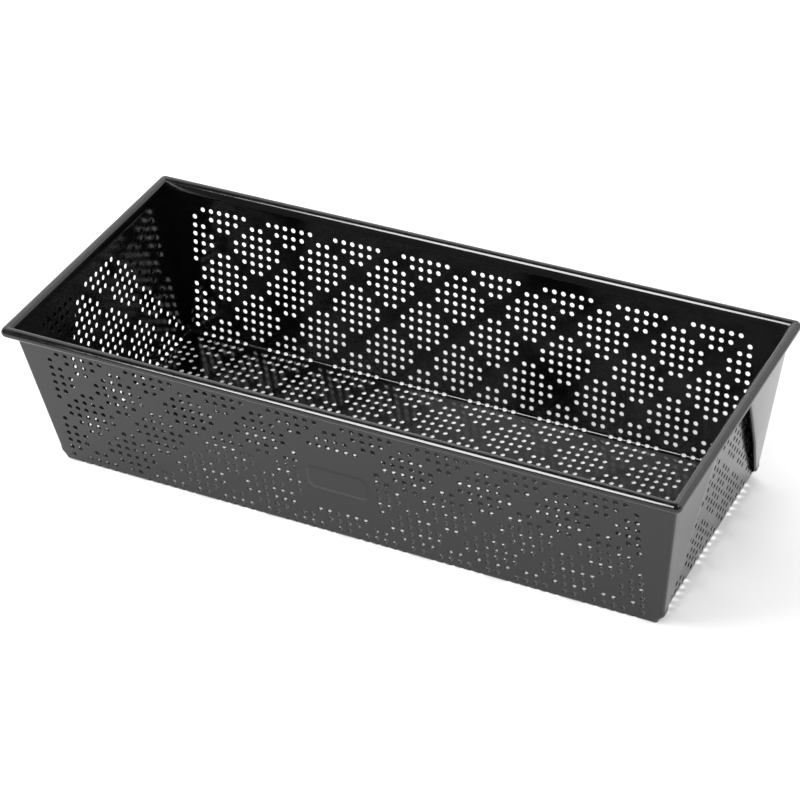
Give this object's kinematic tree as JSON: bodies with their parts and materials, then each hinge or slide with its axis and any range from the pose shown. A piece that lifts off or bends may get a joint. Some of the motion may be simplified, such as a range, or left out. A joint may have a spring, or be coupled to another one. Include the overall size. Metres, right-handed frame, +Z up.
{
  "type": "perforated loaf tin",
  "caption": "Long open loaf tin folded from perforated sheet steel, with flared walls, corner pleats laid on the end walls and a rolled, wired rim.",
  "frame": {"origin": "middle of the base's underside, on the surface the tin stands on", "axes": "+Z up, +X along the tin's length, +Y across it to the rear wall"},
  "size_m": [0.304, 0.134, 0.0735],
  "materials": {
    "coated_steel": "glossy black non-stick coating",
    "coated_rim": "glossy black non-stick coating, rolled edge",
    "wire_steel": "drawn steel wire"
  },
  "bodies": {
    "root": {"base_panel": "coated_steel", "front_wall": "coated_steel", "rear_wall": "coated_steel", "right_end_wall": "coated_steel", "left_end_wall": "coated_steel", "front_right_pleat": "coated_steel", "rear_right_pleat": "coated_steel", "front_left_pleat": "coated_steel", "rear_left_pleat": "coated_steel", "front_rim_roll": "coated_rim", "rear_rim_roll": "coated_rim", "right_rim_roll": "coated_rim", "left_rim_roll": "coated_rim", "rim_wire": "wire_steel"}
  },
  "joints": []
}
